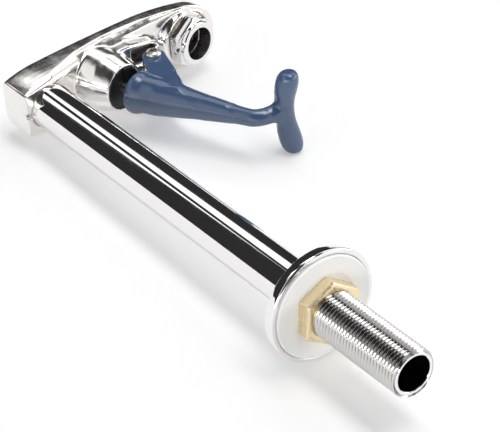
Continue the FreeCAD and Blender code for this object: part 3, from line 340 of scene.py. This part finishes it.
def apply_modifier(obj, kind, **settings):
    activate(obj)
    modifier = obj.modifiers.new(kind.lower(), kind)
    for name, value in settings.items():
        setattr(modifier, name, value)
    bpy.ops.object.modifier_apply(modifier=modifier.name)


# %% [markdown]
# ## Cast arm and moulded lever
# Metal poured into a mould and plastic pressed into one come out without a sharp edge. A bevel
# rounds edges one by one and fails where many faces meet in a corner, as they do at the hood of the
# arm. Remeshing the copy into small even cells and smoothing those rounds every edge alike, so both
# are made this way. The lever gets finer cells and more rounds, because it is slim and rounder.

# %% Cast arm and moulded lever
def soft_copy(name, node, body, material, cell, rounds):
    """A copy of a solid with every edge rounded."""
    piece = add_copy(name, node, body, material)
    apply_modifier(piece, "REMESH", mode="VOXEL", voxel_size=cell)
    apply_modifier(piece, "SMOOTH", factor=0.5, iterations=rounds)
    bpy.ops.object.shade_smooth()
    print(name, len(piece.data.polygons), "faces")
    return piece


arm = soft_copy("cast_arm", "head_casting", "faucet", cast_chrome, 0.5 * MM, 6)
lever = soft_copy("moulded_lever", "lever", "lever", blue, 0.4 * MM, 14)

# %% [markdown]
# ## Corners that run into each other
# On the real lever the web, the arm, the elbow and the bar flow into each other, and so do the lug
# and the hood of the arm. More smoothing of the whole would wear away the ears that hold the screw.
# So the vertices in a box round each of those places are selected by their coordinates, and only
# they are smoothed.

# %% Corners that run into each other
def melt(piece, low, high, rounds):
    """Smooth what lies between two corners of a box, in millimetres."""
    activate(piece)
    bpy.ops.object.mode_set(mode="EDIT")
    bpy.ops.mesh.select_all(action="DESELECT")
    bpy.ops.object.mode_set(mode="OBJECT")
    melted = 0
    for vertex in piece.data.vertices:
        vertex.select = all(a * MM < c < b * MM for a, c, b in zip(low, vertex.co, high))
        melted += vertex.select
    bpy.ops.object.mode_set(mode="EDIT")
    bpy.ops.mesh.vertices_smooth(factor=0.5, repeat=rounds)
    bpy.ops.object.mode_set(mode="OBJECT")
    return melted


for spot, piece, low, high, rounds in (
        ("web of the lever", lever, (-9.5, -62, 150), (9.5, -44, 176), 60),
        ("elbow of the lever", lever, (-9.5, -72, 120), (9.5, -54, 140), 60),
        ("neck of the bar", lever, (-9.5, -80, 115), (9.5, -66, 135), 25),
        ("hood of the arm", arm, (-14, -68, 196), (14, -34, 209), 8)):
    print(spot, melt(piece, low, high, rounds), "vertices")

# %% [markdown]
# ## Painted shade in the recess
# The recess is a part of the casting, so it is no piece of its own. It is told from the rest by
# where its faces are and where they look: its roof looks down, and its two walls look inwards, at
# the middle plane. Those faces get the second material of the arm, which paints them dark for the shade
# in the recess.

# %% Painted shade in the recess
RECESS_HALF_WIDTH = 11
RECESS_FRONT, RECESS_BACK = -62.5, -44
RECESS_LOW, RECESS_ROOF, RECESS_TOP = 199, 205, 208.2
LOOKS_DOWN = -0.4
STANDS_UPRIGHT = 0.6

# The arm's second material is painted shade for the recess.
arm.data.materials.append(recess_painted_shade)
inside = 0
for face in arm.data.polygons:
    x, y, z = face.center / MM
    roof = face.normal.z < LOOKS_DOWN and z > RECESS_ROOF
    wall = face.normal.x * x < 0 and abs(face.normal.z) < STANDS_UPRIGHT
    near = abs(x) < RECESS_HALF_WIDTH and RECESS_FRONT < y < RECESS_BACK
    if near and RECESS_LOW < z < RECESS_TOP and (roof or wall):
        face.material_index = 1
        inside += 1
print("recess faces", inside)

# %% [markdown]
# ## Pipe
# One pipe makes the column above the deck and the shank below it. On a lathe it is a profile turned
# about an axis, and the Screw modifier does the same to a few points of (radius, height), without
# a rise. Inside the arm, the flange and the nut the profile keeps to the middle of their threads,
# and on the free shank to just under the roots of the thread, which is wound round it afterwards.

# %% Pipe
BORE_RADIUS = 7.9
CORE_RADIUS = 9.25
JOINT_RADIUS = 9.875
COLUMN_RADIUS = 10.65
SHANK_END = -55.0
THREAD_TOP = -6.4
COLUMN_FOOT = 8.3
COLUMN_TOP = 199.58
PIPE_TOP = 209.5
CHAMFER_HEIGHT, CHAMFER_DEPTH = 0.8, 0.775
EDGE_HEIGHT, EDGE_DEPTH = 0.2, 0.25


def wind(obj, steps, **settings):
    """Wind a profile round Z, in so many steps to a turn, and merge it where its turns meet."""
    apply_modifier(obj, "SCREW", angle=math.tau, steps=steps, render_steps=steps,
                   use_merge_vertices=True, merge_threshold=2 * MERGE_DISTANCE, use_normal_calculate=True,
                   **settings)


def face_outwards(obj):
    activate(obj)
    bpy.ops.object.mode_set(mode="EDIT")
    bpy.ops.mesh.select_all(action="SELECT")
    bpy.ops.mesh.normals_make_consistent(inside=False)
    bpy.ops.object.mode_set(mode="OBJECT")


def shade(obj, degrees):
    """Shade smooth, but keep edges that turn by more than an angle."""
    activate(obj)
    bpy.ops.object.shade_smooth_by_angle(angle=math.radians(degrees))


profile = (
    (BORE_RADIUS, SHANK_END + EDGE_HEIGHT), (BORE_RADIUS + EDGE_HEIGHT, SHANK_END),
    (CORE_RADIUS - EDGE_DEPTH, SHANK_END), (CORE_RADIUS, SHANK_END + EDGE_HEIGHT),
    (CORE_RADIUS, THREAD_TOP), (JOINT_RADIUS, THREAD_TOP),
    (JOINT_RADIUS, COLUMN_FOOT - CHAMFER_HEIGHT), (COLUMN_RADIUS, COLUMN_FOOT),
    (COLUMN_RADIUS, COLUMN_TOP), (JOINT_RADIUS, COLUMN_TOP),
    (JOINT_RADIUS, PIPE_TOP - CHAMFER_HEIGHT), (JOINT_RADIUS - CHAMFER_DEPTH, PIPE_TOP),
    (BORE_RADIUS, PIPE_TOP),
)
pipe_mesh = bpy.data.meshes.new("pipe_tube")
pipe_mesh.from_pydata([(radius * MM, 0, height * MM) for radius, height in profile],
                      [(i, (i + 1) % len(profile)) for i in range(len(profile))], [])
pipe = add_piece("pipe_tube", pipe_mesh, "faucet", chrome, ("column_pipe",))
wind(pipe, 128)
face_outwards(pipe)
shade(pipe, 35)
print("pipe", len(pipe.data.polygons), "faces")

# %% [markdown]
# ## Thread of the shank
# A pipe thread climbs 1/14 inch with each turn. Rings would do from afar, but from near the eye
# follows the helix. One pitch of the profile, a crest between two halves of a root, is wound
# thirty times with Screw, this time with a rise of one pitch a turn. Two bisect cuts trim the helix
# to the free length of the shank.

# %% Thread of the shank
PITCH = 25.4 / 14 * MM
CREST = 10.45 * MM
ROOT = 9.3 * MM
CREST_CURVE = 0.07 * MM
ROOT_CURVE = 0.08 * MM
HELIX_START = -57.5 * MM
TURNS = 30
CUTS = ((SHANK_END + 0.3) * MM, THREAD_TOP * MM)

turn = (
    (ROOT, 0), (ROOT, 0.06), (ROOT + ROOT_CURVE, 0.1),
    (CREST - CREST_CURVE, 0.42), (CREST, 0.46), (CREST, 0.54), (CREST - CREST_CURVE, 0.58),
    (ROOT + ROOT_CURVE, 0.9), (ROOT, 0.94), (ROOT, 1.0),
)
thread_mesh = bpy.data.meshes.new("shank_thread")
thread_mesh.from_pydata([(radius, 0, HELIX_START + PITCH * share) for radius, share in turn],
                        [(i, i + 1) for i in range(len(turn) - 1)], [])
thread = add_piece("shank_thread", thread_mesh, "faucet", thread_chrome)
wind(thread, 64, screw_offset=PITCH, iterations=TURNS)
activate(thread)
bpy.ops.object.mode_set(mode="EDIT")
for height, below in zip(CUTS, (True, False)):
    bpy.ops.mesh.select_all(action="SELECT")
    bpy.ops.mesh.bisect(plane_co=(0, 0, height), plane_no=(0, 0, 1),
                        clear_inner=below, clear_outer=not below)
bpy.ops.object.mode_set(mode="OBJECT")
face_outwards(thread)
shade(thread, 50)
print("thread", len(thread.data.polygons), "faces")

# %% [markdown]
# ## Spring
# The spring that closes the valve is squeezed between the rising retainer and the seat, so it can't
# just ride with the stem. Here a merged copy rides with the faucet and keeps its shape, so it is not
# squeezed. The valve leans by 13.3 degrees, as its housing does.

spring = add_copy("closing_spring", "valve_spring", "faucet", steel)
shade(spring, 50)
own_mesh(spring)

# %% [markdown]
# ## Flange, nozzle and nut
# A lathe leaves an edge so sharp that it is broken with a file, and that narrow band catches the
# light all round. Smoothing, as on the arm, would blur the nozzle's hexagon. A small bevel on the
# edges that turn by more than 28 degrees keeps the flats flat.

# %% Flange, nozzle and nut
def eased_copy(name, node, material, width):
    """A copy of a solid whose sharp edges are broken by a small bevel."""
    piece = add_copy(name, node, "faucet", material)
    bpy.ops.object.mode_set(mode="EDIT")
    bpy.ops.mesh.select_all(action="SELECT")
    bpy.ops.mesh.tris_convert_to_quads()
    bpy.ops.object.mode_set(mode="OBJECT")
    apply_modifier(piece, "BEVEL", width=width, segments=2,
                   limit_method="ANGLE", angle_limit=math.radians(28))
    shade(piece, 40)
    print(name, len(piece.data.polygons), "faces")
    return piece


eased_copy("eased_flange", "base_flange", chrome, 0.22 * MM)
nozzle = eased_copy("eased_nozzle", "nozzle", chrome, 0.2 * MM)
eased_copy("eased_nut", "lock_nut", brass, 0.25 * MM)

# %% [markdown]
# ## Painted shade in the bore of the nozzle
# The faces of the bore are the ones that look towards the nozzle's axis. The axis stands in the
# middle of the nozzle's box, so a face belongs to the bore when its normal points against the way
# from that middle to the face. Those faces get the bore's painted shade, a dark grey.

# %% Bore of the nozzle
LOOKS_INWARD = -0.3

# The nozzle's second material is painted shade: a dark grey for the shade inside the bore.
nozzle.data.materials.append(bore_painted_shade)
middle = sum((Vector(corner) for corner in nozzle.bound_box), Vector()) / 8
bored = 0
for face in nozzle.data.polygons:
    outward = (face.center - middle) * Vector((1, 1, 0))
    if face.normal.dot(outward.normalized()) < LOOKS_INWARD:
        face.material_index = 1
        bored += 1
print("bore faces", bored)

# %% [markdown]
# ## Floor
# The faucet lies on its side, so the floor faces -X. It meets the rim of the flange, the end of the
# lever's bar and the side of the arm, and it leans, because the flange is the widest of them. The
# floor is pure white with soft shadows, and its reflection is the white lower half of the column.
# Brighter panels would wash out the faucet too, so the white comes from a glow that only the camera
# and the reflections see. The back of the floor is clear, for views from below.

# %% Floor
FLOOR_SIZE = 3
FLOOR_OFF_AXIS = 25.8 * MM
AT_HEIGHT = 3 * MM
LEAN = math.atan2(8.6, 207)
FLOOR_GLOW = 0.3

floor_mesh = bpy.data.meshes.new("floor")
corners = [(0, -FLOOR_SIZE, -FLOOR_SIZE), (0, FLOOR_SIZE, -FLOOR_SIZE),
           (0, FLOOR_SIZE, FLOOR_SIZE), (0, -FLOOR_SIZE, FLOOR_SIZE)]
floor_mesh.from_pydata(corners, [], [(3, 2, 1, 0)])
floor = bpy.data.objects.new("floor", floor_mesh)
bpy.context.scene.collection.objects.link(floor)
floor.matrix_world = (Matrix.Translation((FLOOR_OFF_AXIS, 0, AT_HEIGHT))
                      @ Matrix.Rotation(-LEAN, 4, "Y"))

floor_paint = new_material("floor", (0.8, 0.8, 0.8), roughness=1.0, Specular_IOR_Level=0.0)
floor_mesh.materials.append(floor_paint)
tree = floor_paint.node_tree
path = add_node(tree, "ShaderNodeLightPath")
seen = math_node(tree, "MAXIMUM", path.outputs["Is Camera Ray"], path.outputs["Is Glossy Ray"])
glow = add_node(tree, "ShaderNodeEmission", {
    "Color": (1, 1, 1, 1), "Strength": math_node(tree, "MULTIPLY", seen, FLOOR_GLOW)})
painted = tree.nodes["Principled BSDF"]
lit = add_node(tree, "ShaderNodeAddShader", {0: painted.outputs[0], 1: glow.outputs[0]})
back = add_node(tree, "ShaderNodeNewGeometry")
clear = add_node(tree, "ShaderNodeBsdfTransparent")
final = add_node(tree, "ShaderNodeMixShader", {
    0: back.outputs["Backfacing"], 1: lit.outputs[0], 2: clear.outputs[0]})
tree.links.new(final.outputs[0], tree.nodes["Material Output"].inputs["Surface"])
print("floor leans", round(math.degrees(LEAN), 2), "degrees")

# %% [markdown]
# ## Studio light
# Chrome shows the room more than itself: each stripe on the column is the picture of a panel. Lamps
# would need many tries until their pictures fall right. Here the panels are painted on the world by
# direction. Where a direction meets a ceiling one unit above the floor gives two measures, across
# the faucet and along it, and a panel is what lies between two borders of each, with soft edges.

# %% Measures on the ceiling
world = bpy.data.worlds.new("studio")
bpy.context.scene.world = world
world.use_nodes = True
tree = world.node_tree
tree.nodes.clear()


def times(value, factor):
    return math_node(tree, "MULTIPLY", value, factor)


def between(value, low, high, soft):
    """One between two borders, fading to zero over a soft edge at each."""
    rise = add_node(tree, "ShaderNodeMapRange", {
        "Value": value, "From Min": low - soft, "From Max": low + soft})
    fall = add_node(tree, "ShaderNodeMapRange", {
        "Value": value, "From Min": high + soft, "From Max": high - soft})
    return times(rise.outputs["Result"], fall.outputs["Result"])


def leaning(value, factor, other):
    """A measure whose borders lean, by taking away a share of the other measure."""
    return math_node(tree, "SUBTRACT", value, times(other, factor))


way = add_node(tree, "ShaderNodeTexCoord")
axes = add_node(tree, "ShaderNodeSeparateXYZ", {0: way.outputs["Generated"]})
height = math_node(tree, "MAXIMUM", times(axes.outputs["X"], -1.0), 0.001)
across = math_node(tree, "DIVIDE", axes.outputs["Y"], height)
along = math_node(tree, "DIVIDE", axes.outputs["Z"], height)
print("nodes for the two measures", len(tree.nodes))

# %% [markdown]
# ## Big panel on the left
# This panel draws the broad white stripe along the column and lights the side of the arm and much
# of the floor. It is dimmer at its near end. A dark boom hangs before it, as in many studios, and
# draws the dark line under the upper edge of the arm and another one along the thread.

# %% Big panel on the left
slant = leaning(along, 0.47, across)
fade = add_node(tree, "ShaderNodeMapRange", {
    "Value": slant, "From Min": -0.6, "From Max": 0.3, "To Min": 0.55, "To Max": 1.35})
tilted = leaning(across, 0.32, along)
boom = times(between(tilted, -0.62, -0.3, 0.03), between(along, -3.0, 0.4, 0.06))
left_panel = times(between(across, -9.0, -0.05, 0.012), between(slant, -6.0, 1.36, 0.03))
left_panel = times(left_panel, fade.outputs["Result"])
left_panel = times(left_panel, math_node(tree, "SUBTRACT", 1.0, boom))
print("nodes after the left panel", len(tree.nodes))

# %% [markdown]
# ## Smaller panels
# The strip draws the thin white line on the column. The right panel lights the cone under the arm,
# the flats of the nozzle and the top of the lever. The back panel lights the washer, the flange and
# the thread, which face away from the head. The sun panel is small and bright: it whitens the
# floor, and what stands in its way throws the soft shadows. Where two panels overlap, the brighter
# shows.

# %% Smaller panels
strip = times(between(leaning(across, 0.31, along), -0.151, 9.0, 0.012),
              between(leaning(across, 1.05, along), -9.0, -0.808, 0.02))
strip = times(strip, between(along, 0.6, 1.6, 0.05))
spread = math_node(tree, "ADD", across, along)
right_panel = times(between(spread, 0.7, 60.0, 0.08), between(along, -6.0, 0.71, 0.04))
side = math_node(tree, "ABSOLUTE", across)
back_panel = times(between(along, -90.0, -1.0, 0.2), between(side, 3.0, 90.0, 0.5))
sun_panel = times(between(across, -0.36, -0.06, 0.02), between(along, -0.6, 0.3, 0.03))

light = left_panel
for panel, brightness in ((strip, 1.5), (right_panel, 0.95), (back_panel, 4.0), (sun_panel, 6.0)):
    light = math_node(tree, "MAXIMUM", light, times(panel, brightness))
print("studio nodes", len(tree.nodes))

# %% [markdown]
# ## World and view
# The room between the panels is nearly black, which gives chrome its contrast. Seen directly, or
# through the clear back of the floor, the world is plain white like the floor.

# %% World and view
ROOM_LEVEL = 0.03

level = math_node(tree, "ADD", light, ROOM_LEVEL)
path = add_node(tree, "ShaderNodeLightPath")
behind = math_node(tree, "MAXIMUM", path.outputs["Is Camera Ray"], path.outputs["Is Transmission Ray"])
strength = add_node(tree, "ShaderNodeMix", {0: behind, 2: level, 3: 1.0})
background = add_node(tree, "ShaderNodeBackground", {
    "Color": (1, 1, 1, 1), "Strength": strength.outputs[0]})
add_node(tree, "ShaderNodeOutputWorld", {"Surface": background.outputs[0]})
world.cycles.sampling_method = "MANUAL"
world.cycles.sample_map_resolution = 1024
bpy.context.scene.view_settings.view_transform = "Standard"
print("world", world.name, len(tree.nodes), "nodes")
